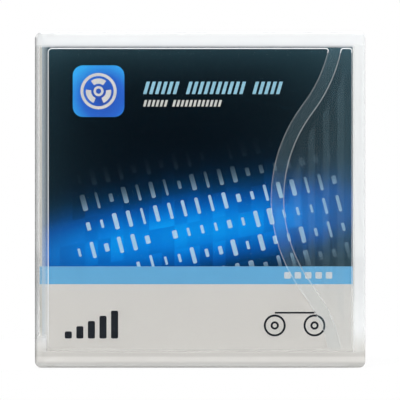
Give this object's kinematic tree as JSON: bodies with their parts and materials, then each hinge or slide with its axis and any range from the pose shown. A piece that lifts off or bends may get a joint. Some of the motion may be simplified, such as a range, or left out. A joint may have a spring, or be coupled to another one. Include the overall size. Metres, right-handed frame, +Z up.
{
  "type": "data tape cartridge in hinged storage case",
  "caption": "Single-reel data tape cartridge in a clear hinged storage case with a printed inlay card.",
  "frame": {"origin": "middle of the closed case's footprint, on the surface that it stands on", "axes": "+Z up along the hinge, -Y out of the front cover, +X from the spine to the opening edge"},
  "size_m": [0.1116, 0.026, 0.113],
  "materials": {
    "clear_plastic": "clear polystyrene, polished, with a faint haze",
    "printed_card": "semi-gloss printed card",
    "shell_plastic": "fine-textured opaque plastic",
    "screw_steel": "black-zinc screws",
    "reel_plastic": "smooth glass-filled plastic",
    "magnetic_tape": "smooth coated film",
    "plated_steel": "nickel-plated",
    "acetal_plastic": "natural acetal",
    "spring_steel": "bright spring wire",
    "door_plastic": "fine-textured plastic",
    "tab_plastic": "fine-textured plastic",
    "circuit_board": "lacquered board"
  },
  "bodies": {
    "root": {"case_tray": "clear_plastic", "upper_shell": "shell_plastic", "lower_shell": "shell_plastic", "shell_screws": "screw_steel", "brake_spring": "spring_steel", "door_spring": "spring_steel", "leader_pin": "plated_steel", "tape_clamp": "acetal_plastic", "pin_latch": "spring_steel", "leader_tape": "magnetic_tape", "memory_chip": "circuit_board"},
    "lid": {"case_cover": "clear_plastic", "inlay_card": "printed_card"},
    "reel": {"reel_hub": "reel_plastic", "upper_flange": "reel_plastic", "tape_pack": "magnetic_tape", "hub_washer": "plated_steel"},
    "button": {"release_button": "acetal_plastic"},
    "brake": {"brake_plate": "acetal_plastic"},
    "door": {"tape_door": "door_plastic"},
    "write_tab": {"write_protect_tab": "tab_plastic"}
  },
  "joints": [
    {"name": "lid_hinge", "type": "hinge", "parent": "root", "child": "lid", "pos_m": [-0.05105, 0.0106, 0.0565], "axis": [0, 0, -1], "range_deg": [0, 160]},
    {"name": "reel_spin", "type": "hinge", "parent": "root", "child": "reel", "pos_m": [0, 0, 0.055], "axis": [0, -1, 0], "continuous": true},
    {"name": "button_press", "type": "slide", "parent": "reel", "child": "button", "axis": [0, -1, 0], "range_m": [0, 0.002]},
    {"name": "brake_lift", "type": "slide", "parent": "root", "child": "brake", "axis": [0, -1, 0], "range_m": [0, 0.002], "stiffness_N_per_m": 400, "springref_m": -0.005, "deforming": ["brake_spring"]},
    {"name": "door_slide", "type": "slide", "parent": "root", "child": "door", "axis": [1, 0, 0], "range_m": [0, 0.0195], "stiffness_N_per_m": 30, "springref_m": -0.02, "deforming": ["door_spring"]},
    {"name": "write_tab_slide", "type": "slide", "parent": "root", "child": "write_tab", "axis": [0, 0, 1], "range_m": [0, 0.0055]}
  ],
  "couplings": [
    {"joint": "brake_lift", "follows": "button_press", "ratio": 1}
  ]
}
